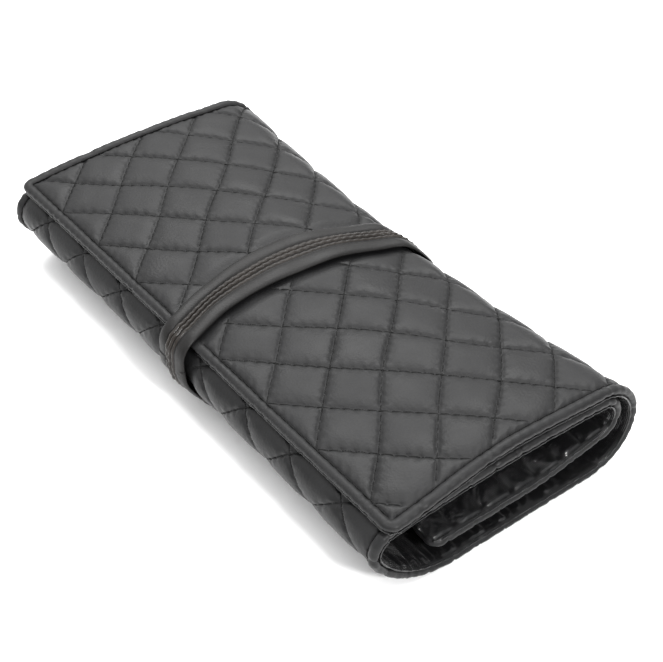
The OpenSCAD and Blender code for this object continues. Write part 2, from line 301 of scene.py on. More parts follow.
def quilt_grid(x, s):
    """Place in the diamond grid; both families of stitch lines are at whole numbers."""
    wob_x = 0.45 * np.sin(s / 7.3 + 1.1) + 0.35 * np.sin(x / 11.0 + s / 19.0)
    wob_s = 0.45 * np.sin(x / 8.1 + 0.4) + 0.3 * np.sin(s / 9.0 - x / 23.0)
    front = smooth(120, 235, s)
    gx = (1 - front) * (x + quilt_shift) + front * ((x - 13.3) * 1.0112 + 27) + wob_x
    gs = s - hem_in + wob_s
    return (gx - gs) / quilt_pitch, (gx + gs) / quilt_pitch


def from_line(value):
    return np.abs(value - np.round(value)) * quilt_pitch / math.sqrt(2)


def hem_distance(x, s):
    """How far a point is inside the hem's stitch line."""
    return np.minimum(case_half - hem_in - np.abs(x), np.minimum(s - hem_in, s_end - hem_in - s))


puff_high, puff_run, hem_run = 1.0, 8.0, 6.0
seam_low, seam_deep, hole_deep, strap_press = 0.75, 0.5, 0.4, 1.25


def quilt_height(x, s):
    """Height of the puffed leather over the sheet's outer side."""
    u, v = quilt_grid(x, s)
    du, dv = from_line(u), from_line(v)
    inside = np.maximum(hem_distance(x, s), 0)
    rise_u = 1 - (1 - np.minimum(du / puff_run, 1)) ** 3.0
    rise_v = 1 - (1 - np.minimum(dv / puff_run, 1)) ** 3.0
    rise_hem = 1 - (1 - np.minimum(inside / hem_run, 1)) ** 2.6
    puff = (puff_high - 0.25 * smooth(190, 235, s)) * rise_u * rise_v * rise_hem
    seam = np.minimum(np.minimum(du, dv), inside)
    side_hem = case_half - hem_in - np.abs(x) <= np.minimum(np.minimum(du, dv), inside) + 1e-9
    front_hem = ~side_hem & (inside < np.minimum(du, dv))
    count = np.where(side_hem, s / stitch_pitch, s * math.sqrt(2) / stitch_pitch)
    count = np.where(front_hem, x / stitch_pitch, count)
    hole = ((count - np.floor(count) - 0.5) * stitch_pitch / 0.62) ** 2
    height = puff - seam_low - seam_deep * np.exp(-(seam / 0.42) ** 2)
    height = height - hole_deep * np.exp(-hole - (seam / 0.7) ** 2)
    along = np.where(du < dv, v, u) * quilt_pitch / math.sqrt(2)
    along = np.where(inside < np.minimum(du, dv), x + s, along)
    pucker = np.sin(along * 2 * math.pi / stitch_pitch) + 0.6 * np.sin(along * 2 * math.pi / 6.7 + u * 5)
    height = height + 0.10 * pucker * np.exp(-((seam - 1.1) / 1.3) ** 2)
    slack = np.sin(x / 5.1 + 0.6 * np.sin(s / 4.3)) * np.sin(s / 5.7 + 1.0 + 0.5 * np.sin(x / 6.1))
    height = height + 0.10 * slack * rise_u * rise_v
    hidden = smooth(s_front_pivot + 18, s_front_pivot + 30, s)
    height = height - hidden * (0.55 * (height + 1.0) + 0.3)
    far, near = strap_edges(s)
    tight = smooth(far - 6, far + 1, x) * (1 - smooth(near - 1, near + 6, x))
    tight = tight * (1 - smooth(s_front_pivot + 2, s_front_pivot + 14, s))
    return height * (1 - tight) - strap_press * tight


def mesh_from(name, points, faces, material, smooth_faces=True):
    mesh = bpy.data.meshes.new(name)
    mesh.from_pydata(np.asarray(points).reshape(-1, 3).tolist(), [], faces)
    if smooth_faces:
        mesh.polygons.foreach_set("use_smooth", [True] * len(mesh.polygons))
    mesh.materials.append(material)
    mesh.update()
    made = bpy.data.objects.new(name, mesh)
    bpy.context.collection.objects.link(made)
    return made


def grid_faces(rows, columns, start=0, round_rows=False, round_columns=False, flip=False):
    """Quads over a grid of points stored row by row."""
    i = np.arange(rows if round_rows else rows - 1)
    j = np.arange(columns if round_columns else columns - 1)
    i, j = np.meshgrid(i, j, indexing="ij")
    i2, j2 = (i + 1) % rows, (j + 1) % columns
    quads = np.stack((i * columns + j, i * columns + j2, i2 * columns + j2, i2 * columns + j), axis=-1)
    quads = quads.reshape(-1, 4) + start
    return (quads[:, ::-1] if flip else quads).tolist()


def steps(first, last, size):
    return np.linspace(first, last, max(2, int(round(abs(last - first) / size)) + 1))


hem_lap, hem_mid, hem_bend = 0.7, 2.05, 2.9


def panel(s_rows):
    """The puffed face of the sheet between the hems' stitch lines."""
    x = steps(-case_half + hem_in - hem_lap, case_half - hem_in + hem_lap, 0.62)
    sx, ss = np.meshgrid(x, s_rows)
    return on_sheet(sx, ss, -quilt_height(sx, ss)).reshape(-1, 3), grid_faces(len(s_rows), len(x))


def hem_path(s_first, s_last, across=None):
    """The hem's middle line: along both ends of the roll, and across an open edge if there is one."""
    mid = case_half - hem_mid
    if across is None:
        rows = steps(s_first, s_last, 0.7)
        return [
            (np.stack((np.full_like(rows, side * mid), rows), -1), np.array((side, 0.0)))
            for side in (-1, 1)
        ]
    edge, inward = across
    turn = np.radians(np.linspace(0, 90, 9))[1:-1]
    corner = edge + inward * (hem_mid + hem_bend)
    rows = steps(s_last if inward > 0 else s_first, corner, 0.7)
    near = np.stack((np.full_like(rows, mid), rows), -1)
    near_out = np.tile((1.0, 0.0), (len(rows), 1))
    curve_out = np.stack((np.cos(turn), -inward * np.sin(turn)), -1)
    curve = np.array((mid - hem_bend, corner)) + hem_bend * curve_out
    span = steps(mid - hem_bend, -(mid - hem_bend), 0.7)
    front = np.stack((span, np.full_like(span, edge + inward * hem_mid)), -1)
    front_out = np.tile((0.0, -inward), (len(span), 1))
    mirror = np.array((-1.0, 1.0))
    halves = ((near, curve, front), (near_out, curve_out, front_out))
    return [tuple(
        np.concatenate((end, turned, middle, (turned * mirror)[::-1], (end * mirror)[::-1]))
        for end, turned, middle in halves
    )]


def hem_roll(line, out, deep=1.45, wide_r=2.08, high_r=1.62, first=152, last=-112):
    """The rolled leather edge round a path."""
    out = np.broadcast_to(out, line.shape)
    x, s = line[:, 0], line[:, 1]
    u, v = quilt_grid(x, s)
    crease = np.exp(-(from_line(u) / 0.8) ** 2) + np.exp(-(from_line(v) / 0.8) ** 2)
    notch = ((s / gather_pitch) % 1 - 0.5) * gather_pitch
    notch = np.exp(-(notch / 0.5) ** 2) * smooth(s_mid_lower, s_bottom, s)
    run = np.concatenate(([0], np.cumsum(np.hypot(*np.diff(line, axis=0).T))))
    full = 1 - 0.17 * crease - 0.28 * notch
    full = full + 0.05 * np.sin(run * 2 * math.pi / stitch_pitch) + 0.03 * np.sin(run / 3.1 + x / 9)
    turn = np.radians(np.linspace(first, last, 22))
    full, turn = full[:, None], turn[None, :]
    wide = wide_r * np.cos(turn) * (0.5 + 0.5 * full)
    high = high_r * np.sin(turn) * full
    px = x[:, None] + out[:, 0][:, None] * wide
    ps = s[:, None] + out[:, 1][:, None] * wide
    far, near = strap_edges(ps)
    tight = smooth(far - 5, far + 1, px) * (1 - smooth(near - 1, near + 5, px)) * (ps < 12)
    points = on_sheet(px, ps, deep - high + 0.8 * tight * np.maximum(np.sin(turn), 0))
    return points.reshape(-1, 3), grid_faces(len(line), turn.shape[1])


def base_tones(finish, texture, dark, light, low=0.0, high=1.0):
    """Colour a material between two tones of one texture."""
    tones = add_node(finish, "ShaderNodeValToRGB")
    for stop, place, tone in zip(tones.color_ramp.elements, (low, high), (dark, light)):
        stop.position = place
        stop.color = (*tone, 1.0)
    shader = finish.node_tree.nodes["Principled BSDF"]
    finish.node_tree.links.new(texture.outputs["Fac"], tones.inputs["Fac"])
    finish.node_tree.links.new(tones.outputs["Color"], shader.inputs["Base Color"])


def bump_chain(finish, *bumps):
    """Stack bumps, each (height socket, distance, strength), from the coarsest to the finest."""
    links = finish.node_tree.links
    normal = finish.node_tree.nodes["Principled BSDF"].inputs["Normal"]
    last = None
    for height, distance, strength in bumps:
        bump = add_node(finish, "ShaderNodeBump", Distance=distance, Strength=strength)
        links.new(height, bump.inputs["Height"])
        if last:
            links.new(last.outputs["Normal"], bump.inputs["Normal"])
        last = bump
    links.new(last.outputs["Normal"], normal)


def leather_material(name, tone, roughness, grain_size, grain_depth, crumple):
    """Soft full-grain leather: pebbled grain, finer pores and slow changes of tone and gloss."""
    finish = plain_material(name, tone, roughness)
    shader, links = finish.node_tree.nodes["Principled BSDF"], finish.node_tree.links
    shader.inputs["Specular IOR Level"].default_value = 0.215
    place = add_node(finish, "ShaderNodeTexCoord").outputs["Object"]
    drift = add_node(finish, "ShaderNodeTexNoise", Scale=1 / (grain_size * 2.6), Detail=4.0)
    pores = add_node(finish, "ShaderNodeTexNoise", Scale=3.1 / grain_size, Detail=3.0)
    wear = add_node(finish, "ShaderNodeTexNoise", Scale=55.0, Detail=5.0)
    creases = add_node(finish, "ShaderNodeTexNoise", Scale=210.0, Detail=3.0, Distortion=0.8)
    for texture in (drift, pores, wear, creases):
        links.new(place, texture.inputs["Vector"])
    bend = add_node(finish, "ShaderNodeVectorMath", {"operation": "SCALE"}, Scale=grain_size * 0.8)
    warped = add_node(finish, "ShaderNodeVectorMath", {"operation": "ADD"})
    pebbles = add_node(
        finish, "ShaderNodeTexVoronoi", {"feature": "SMOOTH_F1"}, Scale=1 / grain_size, Smoothness=0.7
    )
    links.new(drift.outputs["Color"], bend.inputs[0])
    links.new(place, warped.inputs[0])
    links.new(bend.outputs["Vector"], warped.inputs[1])
    links.new(warped.outputs["Vector"], pebbles.inputs["Vector"])

    base_tones(finish, wear, [c * 0.68 for c in tone], [c * 1.45 for c in tone], 0.3, 0.75)
    gloss = add_node(finish, "ShaderNodeMapRange", From_Min=0.3, From_Max=0.7,
        To_Min=roughness - 0.09, To_Max=roughness + 0.10)
    links.new(wear.outputs["Fac"], gloss.inputs["Value"])
    links.new(gloss.outputs["Result"], shader.inputs["Roughness"])
    bump_chain(finish, (pebbles.outputs["Distance"], grain_depth, 0.8),
        (pores.outputs["Fac"], grain_depth * 0.35, 0.6), (creases.outputs["Fac"], crumple, 0.6))
    return finish


black_leather = leather_material(
    "black_quilted_leather", (0.0085, 0.0085, 0.0088), 0.45, 0.0009, 0.00007, crumple=0.00012
)


def joined(parts):
    """Several (points, faces) in one."""
    points, faces, count = [], [], 0
    for part_points, part_faces in parts:
        points.append(part_points)
        faces += [[k + count for k in f] for f in part_faces]
        count += len(part_points)
    return np.concatenate(points), faces


def bend_ends(s_first, s_last, depth=sheet_t / 2):
    """Two points on the sheet, either side of a fold."""
    ends = []
    for s in (s_first, s_last):
        y, z = sheet_course.at(np.array(s), depth)
        ends.append((0.0, float(y) * MM, float(z) * MM))
    return ends


# Each stretch: the two bodies that it joins, and where it turns from one to the other
stretches = {
    "flap": ("flap", "fold_upper", bend_ends(s_back_top - 3, s_mid_upper - 1)),
    "back_fold": ("fold_upper", "fold_lower", bend_ends(s_mid_upper + 1, s_mid_lower - 1)),
    "bottom": ("fold_lower", "base", bend_ends(s_mid_lower + 1, s_belly - 50)),
    "front_fold": ("base", "inner_top",
        [(0.0, front_c[0] * MM, (front_c[1] - 9) * MM), (0.0, front_c[0] * MM, (front_c[1] + 9) * MM)]),
    "inner_roll": ("inner_top", "inner_end",
        [(0.0, curl_c[0] * MM, (curl_c[1] + 7) * MM), (0.0, curl_c[0] * MM, (curl_c[1] - 5) * MM)]),
}
skin_rows = {
    "flap": steps(hem_in - hem_lap, s_mid_upper, 0.6),
    "back_fold": steps(s_mid_upper, s_mid_lower, 0.7),
    "bottom": steps(s_mid_lower, s_bottom, 1.1),
    "front_fold": np.concatenate((steps(s_bottom, 232, 1.1)[:-1], steps(232, 287, 0.6)[:-1],
        steps(287, s_inner_top, 1.2))),
    "inner_roll": steps(s_inner_top, s_end - hem_in + hem_lap, 1.3),
}
stood_for = {
    "flap": ("flap_leather", "flap_wadding"),
    "back_fold": ("fold_upper_leather", "fold_upper_wadding"),
    "bottom": ("fold_lower_leather", "fold_lower_wadding"),
    "front_fold": ("base_leather", "base_wadding"),
    "inner_roll": ("inner_top_leather", "inner_top_wadding", "inner_end_leather", "inner_end_wadding"),
}
open_edge = {"flap": (0.0, 1), "inner_roll": (s_end, -1)}
for part, (body_a, body_b, (start, end)) in stretches.items():
    rows = skin_rows[part]
    hems = [hem_roll(*path) for path in hem_path(rows[0], rows[-1], open_edge.get(part))]
    skin = mesh_from(f"{part}_quilted_leather", *joined([panel(rows)] + hems), black_leather)
    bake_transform(skin)
    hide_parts(*stood_for[part])

# ---------------------------------------------------------------------------------------------
# Quilting thread. Waxed black thread, in stitches 4 mm long set down into the seams, on both
# families of diamond lines and along the hems.
thread = plain_material("black_thread", (0.005, 0.005, 0.005), 0.75)
thread.node_tree.nodes["Principled BSDF"].inputs["Specular IOR Level"].default_value = 0.2
ply = add_node(thread, "ShaderNodeTexWave", {"bands_direction": "DIAGONAL"}, Scale=900.0)
ply_place = add_node(thread, "ShaderNodeTexCoord")
thread.node_tree.links.new(ply_place.outputs["Object"], ply.inputs["Vector"])
base_tones(thread, ply, (0.002, 0.002, 0.002), (0.008, 0.008, 0.008))

stitch_length, thread_r = 4.0, 0.27
stitch_ring = np.radians(np.arange(6) * 60.0)
stitch_along = np.array((-0.5, -0.42, -0.2, 0.2, 0.42, 0.5))
stitch_thick = np.array((0.25, 0.8, 1.0, 1.0, 0.8, 0.25))
stitch_sink = np.array((-0.3, -0.06, 0.16, 0.16, -0.06, -0.3))


def stitch_mesh(name, middle, heading, lift, material, place):
    """Short capsules of thread at middle points, each along its heading, on a surface."""
    t = stitch_along[:, None] * stitch_length
    thick = thread_r * stitch_thick[:, None]
    side, up = thick * np.cos(stitch_ring), stitch_sink[:, None] + thick * np.sin(stitch_ring)
    hx, hs = (heading[:, k, None, None] for k in (0, 1))
    x = middle[:, 0, None, None] + t * hx - side * hs
    s = middle[:, 1, None, None] + t * hs + side * hx
    points = place(x, s, -(lift[:, None, None] + up)).reshape(-1, 3)
    one = grid_faces(6, 6, round_columns=True) + [list(range(5, -1, -1)), list(range(30, 36))]
    faces = [[k + 36 * n for k in f] for n in range(len(middle)) for f in one]
    return mesh_from(name, points, faces, material)


def seam_stitches(s_first, s_last):
    """Middles and headings of the stitches on a stretch of the sheet."""
    middle, heading = [], []
    reach = case_half - hem_in - 1.6
    pitch = stitch_pitch / math.sqrt(2)
    for family in (-1, 1):
        low = math.floor((-case_half - 2 * s_end) / quilt_pitch)
        high = math.ceil((case_half + 2 * s_end) / quilt_pitch)
        for line in range(low, high):
            s = np.arange(math.ceil(s_first / pitch), math.ceil(s_last / pitch)) * pitch
            x = line * quilt_pitch - family * (s - hem_in) - quilt_shift
            for _ in range(6):
                u, v = quilt_grid(x, s)
                x = x - ((u if family < 0 else v) - line) * quilt_pitch
            far, near = strap_edges(s)
            keep = (np.abs(x) < reach) & (s > hem_in + 1.6) & (s < s_end - hem_in - 1.6)
            keep &= (x < far - 1.0) | (x > near + 1.0) | (s > s_front_pivot + 5)
            middle.append(np.stack((x, s), -1)[keep])
            heading.append(np.tile((-family / math.sqrt(2), 1 / math.sqrt(2)), (keep.sum(), 1)))
    for side in (-1, 1):
        s = np.arange(math.ceil(s_first / stitch_pitch), math.ceil(s_last / stitch_pitch)) * stitch_pitch
        s = s[(s > hem_in + 2) & (s < s_end - hem_in - 2)]
        middle.append(np.stack((np.full_like(s, side * (case_half - hem_in)), s), -1))
        heading.append(np.tile((0.0, 1.0), (len(s), 1)))
    for edge in (hem_in, s_end - hem_in):
        if s_first <= edge <= s_last:
            x = np.arange(-27, 28) * stitch_pitch
            far, near = strap_edges(np.full_like(x, edge))
            x = x[((x < far - 1) | (x > near + 1)) & (np.abs(x) < case_half - hem_in - 1)]
            middle.append(np.stack((x, np.full_like(x, edge)), -1))
            heading.append(np.tile((1.0, 0.0), (len(x), 1)))
    return np.concatenate(middle), np.concatenate(heading)


for part, (body_a, body_b, (start, end)) in stretches.items():
    rows = skin_rows[part]
    middle, heading = seam_stitches(rows[0] if part != "flap" else 0, rows[-1])
    lift = quilt_height(middle[:, 0], middle[:, 1])
    lift = lift + 0.5 * (np.abs(hem_distance(middle[:, 0], middle[:, 1])) < 0.3)
    sewing = stitch_mesh(f"{part}_stitches", middle, heading, lift, thread, on_sheet)
    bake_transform(sewing)

# ---------------------------------------------------------------------------------------------
# Lining. Thin glossy black cloth on the inner side of the sheet, caught in the hems and drawn
# into small gathers along the ends of the roll.
def lining_height(x, s):
    """How far the lining stands off the sheet's inner side."""
    rim = case_half - np.abs(x)
    end = 1 - smooth(2, 38, rim)
    sway = 0.8 * np.sin(s / 13.0) + 0.5 * np.sin(x / 5.0 + s / 9.0)
    gather = np.abs(np.sin((s + sway) * math.pi / gather_pitch)) ** 0.45 - 0.45
    small = np.sin(s * 2 * math.pi / gather_small + 2 * np.sin(x / 7.0)) * np.sin(x / 4.1 + s / 3.0)
    loose = np.sin(x / 6.3 + np.sin(s / 7.0)) * np.sin(s / 6.1 + 1.2 * np.sin(x / 14.0))
    held = 0.3 + 0.7 * smooth(s_mid_lower, s_bottom, s)
    beads = smooth(s_mid_lower, s_bottom, s) * (1 - smooth(s_front_pivot - 20, s_front_pivot, s))
    beads = 0.5 * beads * np.cos(s * 2 * math.pi / gather_small) * np.exp(-((rim - 4.5) / 3.0) ** 2)
    full = 1.3 + 1.3 * smooth(s_curl_pivot - 6, s_curl_pivot + 12, s)
    puffs = full * gather * end + 0.16 * small * end + 0.2 * loose + beads
    return puffs * held * smooth(0.8, 2.5, rim)


def satin_material(name, tone, roughness):
    """Close-woven glossy cloth with a crushed look."""
    finish = plain_material(name, tone, roughness)
    shader, links = finish.node_tree.nodes["Principled BSDF"], finish.node_tree.links
    shader.inputs["Specular IOR Level"].default_value = 0.34
    shader.inputs["Sheen Weight"].default_value = 0.05
    place = add_node(finish, "ShaderNodeTexCoord").outputs["Object"]
    weave = add_node(finish, "ShaderNodeTexWave", {"wave_type": "BANDS", "bands_direction": "X"},
        Scale=520.0, Distortion=0.6)
    crush = add_node(finish, "ShaderNodeTexNoise", Scale=160.0, Detail=4.0, Distortion=0.9)
    drape = add_node(finish, "ShaderNodeTexNoise", Scale=42.0, Detail=2.0, Distortion=1.6)
    for texture in (weave, crush, drape):
        links.new(place, texture.inputs["Vector"])
    base_tones(finish, crush, [c * 0.7 for c in tone], [c * 1.4 for c in tone])
    bump_chain(finish, (drape.outputs["Fac"], 0.0025, 0.6), (crush.outputs["Fac"], 0.0007, 0.7),
        (weave.outputs["Fac"], 0.00006, 1.0))
    return finish


def two_sided(name, upper, lower, material):
    """A thin closed piece between two grids of points of the same shape."""
    rows, columns = upper.shape[:2]
    count = rows * columns
    faces = grid_faces(rows, columns, flip=True) + grid_faces(rows, columns, start=count)
    rim = [r * columns for r in range(rows)] + [(rows - 1) * columns + c for c in range(1, columns)]
    rim += [r * columns + columns - 1 for r in range(rows - 2, -1, -1)] + list(range(columns - 2, 0, -1))
    faces += [[a, b, b + count, a + count] for a, b in zip(rim, rim[1:] + rim[:1])]
    points = np.concatenate((upper.reshape(-1, 3), lower.reshape(-1, 3)))
    return mesh_from(name, points, faces, material)


black_lining = satin_material("black_lining_cloth", (0.003, 0.003, 0.0033), 0.15)
lining_half, lining_in, gathered = case_half - 1.3, 1.2, case_half - 9
lining_x = np.concatenate((steps(-lining_half, -gathered, 0.4)[:-1],
    steps(-gathered, gathered, 1.2)[:-1], steps(gathered, lining_half, 0.4)))
lining_nodes = {
    "flap": ("flap_lining",), "back_fold": ("fold_upper_lining",), "bottom": ("fold_lower_lining",),
    "front_fold": ("base_lining",), "inner_roll": ("inner_top_lining", "inner_end_lining"),
}
for part, (body_a, body_b, (start, end)) in stretches.items():
    edge_first = 0.0 if part == "flap" else skin_rows[part][0]
    edge_last = s_end if part == "inner_roll" else skin_rows[part][-1]
    first = lining_in if part == "flap" else edge_first
    last = s_end - lining_in if part == "inner_roll" else edge_last
    sx, ss = np.meshgrid(lining_x, steps(first, last, 0.8))
    lining = two_sided(f"{part}_lining_cloth", on_sheet(sx, ss, sheet_t + lining_height(sx, ss)),
        on_sheet(sx, ss, 0 * sx + sheet_t - 0.6), black_lining)
    edges = [hem_roll(*path, deep=sheet_t - 0.25, wide_r=1.85, high_r=0.55, first=150, last=-165)
        for path in hem_path(edge_first, edge_last, open_edge.get(part))]
    edging = mesh_from(f"{part}_lining_edge", *joined(edges), black_lining)
    for made in (lining, edging):
        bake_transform(made)
    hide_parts(*lining_nodes[part])

# ---------------------------------------------------------------------------------------------
# Strap. One long folded strip of softer leather goes twice round the roll. The far pass lies flat
# and the near pass overlaps it. The stitched ridges of both are glossier and carry a lighter, warm
# tone that is a painted highlight.
strap_t, strap_proud, strap_first = 2.2, 1.2, 5.2
nose_out, ridge_pitch = 8.0, 3.2
strap_leather = leather_material(
    "strap_leather", (0.0058, 0.0054, 0.0052), 0.44, 0.0008, 0.00006, crumple=0.00012
)
# The lighter warm tone of this ridge material is a painted highlight; its lower roughness is real gloss.
ridge_highlight_leather = leather_material(
    "strap_leather_painted_highlight", (0.0165, 0.0138, 0.0118), 0.30, 0.0008, 0.00009, crumple=0.00020
)
nose_r = nose_out - strap_t
nose_y = front_c[0] - front_r - strap_proud + nose_out
nose_z = crown_c[1] + math.sqrt((crown_r + strap_proud - nose_out) ** 2 - (nose_y - crown_c[0]) ** 2)
nose_a = slope_of(np.array((nose_y, nose_z)) - crown_c)
under = strap_proud - strap_t
strap_course = Course([
    ((nose_y, front_c[1]), nose_r, 180, 180, 0),
    ((nose_y, nose_z), nose_r, 180, nose_a, 0),
    (crown_c, crown_r + under, nose_a, back_a, 0),
    (back_c, back_r + under, back_a, -90, 0),
    ((back_c[0], -under), 0, -90, -90, belly_c[0] - back_c[0]),
    (belly_c, belly_r + under, -90, belly_a - 360, 0),
    (front_c, front_r + under, belly_a - 360, -180, 0),
])
strap_offset = strap_first - course_place(nose_a - 0.05, strap_course)


def on_strap(x, s, depth):
    """Points over the strap's underside; depth is negative for height above it."""
    y, z = strap_course.at(s - strap_offset, depth)
    y, z = tied_in(x, y, z)
    low = np.where((s > s_mid_lower) & (s < s_front_pivot), floor_gap, -9.0)
    z = np.maximum(z, low)
    return np.stack((x, y, z), axis=-1) * MM


# Sections across the strap, far edge to near edge: share of the width, height
far_section = np.array([
    (0.00, 0.0), (-0.02, 0.6), (-0.012, 1.3), (0.012, 1.8), (0.05, 2.05), (0.11, 2.16), (0.18, 2.12),
    (0.24, 1.95), (0.275, 1.65), (0.292, 1.3), (0.304, 1.2), (0.316, 1.5), (0.330, 2.1), (0.355, 2.55),
    (0.390, 2.65), (0.42, 2.35), (0.436, 1.7), (0.446, 1.1), (0.455, 0.8), (0.52, 0.8), (0.60, 0.75),
    (0.64, 0.6), (0.65, 0.3), (0.64, 0.0), (0.5, 0.0), (0.3, 0.0), (0.1, 0.0),
])
near_section = np.array([
    (0.465, 1.1), (0.452, 1.6), (0.460, 2.3), (0.48, 2.9), (0.51, 3.15), (0.54, 2.95), (0.556, 2.45),
    (0.566, 2.1), (0.578, 2.2), (0.592, 2.7), (0.618, 3.0), (0.648, 2.9), (0.664, 2.55), (0.675, 2.4),
    (0.69, 2.45), (0.72, 2.65), (0.78, 2.8), (0.84, 2.8), (0.90, 2.65), (0.95, 2.5), (0.98, 2.15),
    (1.0, 1.8), (1.0, 1.5), (0.98, 1.3), (0.94, 1.2), (0.88, 1.15), (0.78, 1.1), (0.70, 1.0),
    (0.66, 0.95), (0.60, 0.95), (0.53, 0.95),
])


def strap_fullness(s):
    """The strap is squashed a little where it goes under the case, and full again at the front."""
    squashed = smooth(s_back_top + 8, s_mid_lower, s) - smooth(s_belly + 8, s_belly + 40, s)
    return 1 - 0.3 * squashed


def strap_pass(name, s_first, s_last, section, ridges):
    """One pass of the strap between two places along the roll, with beads along its ridges."""
    s = steps(s_first, s_last, 0.7)
    far, near = strap_edges(s)
    share, high = section[:, 0][None, :], section[:, 1][None, :].repeat(len(s), 0)
    x = far[:, None] + share * (near - far)[:, None]
    bead = sum(full * np.exp(-((share - middle) / wide) ** 2) for middle, wide, _, full in ridges)
    high = high + bead * 0.26 * np.sin(s * 2 * math.pi / ridge_pitch)[:, None]
    high = high * strap_fullness(s)[:, None] + 0.10 * np.sin(s[:, None] / 4.7 + 6 * share) * (high > 1.6)
    points = on_strap(x, s[:, None] + 0 * x, -high)
    columns = section.shape[0]
    faces = grid_faces(len(s), columns, round_columns=True)
    faces.append(list(range(columns))[::-1])
    faces.append([(len(s) - 1) * columns + k for k in range(columns)])
    made = mesh_from(name, points, faces, strap_leather)
    made.data.materials.append(ridge_highlight_leather)
    # Faces on the raised ridges take the lighter material, which is a painted highlight.
    ridge = np.any([np.abs(section[:, 0] - middle) < half for middle, _, half, _ in ridges], axis=0)
    painted_highlight_faces = np.tile(ridge & (section[:, 1] > 1.6), len(s) - 1).astype(int).tolist() + [0, 0]
    made.data.polygons.foreach_set("material_index", painted_highlight_faces)
    return made


strap_runs = {
    "strap_flap": (strap_offset, s_mid_upper, "flap"),
    "strap_fold_upper": (s_mid_upper, s_mid_lower, "back_fold"),
    "strap_fold_lower": (s_mid_lower, s_bottom, "bottom"),
    "strap_base": (s_bottom, s_front_pivot, None),
}
# Each pass: its section, its ridges (middle, bead width, half width of the painted highlight, bead
# height), and where its row of stitches lies across it and how high
strap_passes = {
    "far": (far_section, [(0.375, 0.035, 0.045, 1.0)], 0.31, 0.75),
    "near": (near_section, [(0.51, 0.035, 0.045, 1.0), (0.62, 0.025, 0.03, 0.7)], 0.576, 1.95),
}
strap_stitch = 3.4
for name, (first, last, part) in strap_runs.items():
    for pass_name, (section, ridges, row, row_high) in strap_passes.items():
        piece = strap_pass(f"{name}_{pass_name}_leather", first, last, section, ridges)
        rank = np.arange(math.ceil((first + 1) / strap_stitch), math.ceil((last - 1) / strap_stitch))
        s = rank * strap_stitch
        far, near = strap_edges(s)
        x = far + row * (near - far)
        sewing = stitch_mesh(f"{name}_{pass_name}_stitches", np.stack((x, s), -1),
            np.tile((0.0, 1.0), (len(s), 1)), row_high * strap_fullness(s), thread, on_strap)
        for made in (piece, sewing):
            if part:
                body_a, body_b, (start, end) = stretches[part]
                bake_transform(made)
            else:
                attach(made, "base")
        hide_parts(f"{name}_{pass_name}")

# The strap's end, tucked in beside the near pass low on the front fold.
tail_box = [np.array(c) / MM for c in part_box("strap_tail")]
tail_x = np.linspace(tail_box[0][0] - 2, tail_box[1][0], 12)
tail_s = steps(s_belly + 28, s_belly + 36, 0.6)
tx, ts = np.meshgrid(tail_x, tail_s)
edge = np.minimum(tx - tail_x[0] + 1, tail_x[-1] - tx)
edge = np.minimum(edge, np.minimum(ts - tail_s[0], tail_s[-1] - ts))
top = 1.5 * np.sqrt(np.clip(edge / 1.2, 0, 1)) - 0.3
faces = grid_faces(len(tail_s), 12) + grid_faces(len(tail_s), 12, start=tx.size, flip=True)
strap_tail = mesh_from("strap_tail_leather",
    np.concatenate((on_sheet(tx, ts, -top), on_sheet(tx, ts, 0.5 + 0 * tx))), faces, strap_leather)
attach(strap_tail, "base")
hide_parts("strap_tail")

# ---------------------------------------------------------------------------------------------
# Pockets. Two flat patch pockets of the lining cloth, one on the bottom and one on the inner end,
# sewn down all round; each is opened by the zip that lies across it.
def laid_flat(x, y, z):
    """Points of a flat piece, in metres."""
    return np.stack(np.broadcast_arrays(x, y, z), axis=-1) * MM


def patch(name, node, body, crown, material, pitch):
    """A soft flat piece that fills a CAD slab: full in the middle, thin and puckered at its edges."""
    low, high = (np.array(corner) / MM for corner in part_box(node))
    x, y = np.meshgrid(steps(low[0], high[0], pitch), steps(low[1], high[1], pitch))
    edge = np.minimum(np.minimum(x - low[0], high[0] - x), np.minimum(y - low[1], high[1] - y))
    full = smooth(0, 1.6, edge) * 0.55 + smooth(1.8, 9, edge) * 0.45
    gather = np.sin(x / 2.1 + 2 * np.sin(y / 9.0)) * np.exp(-edge / 5.0)
    gather = gather + 0.6 * np.sin(y / 3.3 + x / 17.0)
    top = low[2] + (high[2] - low[2]) * (0.12 + 0.78 * full) + crown * gather * smooth(0, 2, edge)
    made = two_sided(name, laid_flat(x, y, top)[::-1], laid_flat(x, y, low[2] + 0 * x)[::-1], material)
    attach(made, body)
    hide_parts(node)
    return made


for node, body, under in (
    ("base_pocket", "base", ["bottom_lining_cloth", "front_fold_lining_cloth"]),
    ("end_pocket", "inner_end", ["inner_roll_lining_cloth"]),
):
    pocket = patch(f"{node}_cloth", node, body, 0.14, black_lining, 1.2)

# ---------------------------------------------------------------------------------------------
# Pouch. A gathered pouch of the lining cloth, sewn down under the inner top. Its mouth is drawn in
# by a band of ruched elastic.
pouch_low, pouch_high = (np.array(corner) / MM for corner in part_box("top_pouch"))
elastic_high = np.array(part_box("top_pouch_elastic")[1]) / MM
pouch_first = s_inner_top + pouch_low[1] - crown_c[0]
pouch_last = s_inner_top + pouch_high[1] - crown_c[0]
px, ps = np.meshgrid(steps(pouch_low[0], pouch_high[0], 0.8), steps(pouch_first, pouch_last, 1.5))
drawn = smooth(pouch_first, pouch_last, ps)
pleat = np.sin(px * 2 * math.pi / 6.2 + 0.9 * np.sin(px / 9.0)) * (0.15 + 0.45 * drawn)
edge = np.minimum(px - pouch_low[0], pouch_high[0] - px)
cloth_depth = sheet_t + 0.85 + (0.2 + pleat) * smooth(0, 3, edge)
pouch = two_sided("top_pouch_cloth", on_sheet(px, ps, cloth_depth),
    on_sheet(px, ps, sheet_t + 0.25 + 0 * px), black_lining)
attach(pouch, "inner_top")
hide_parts("top_pouch")

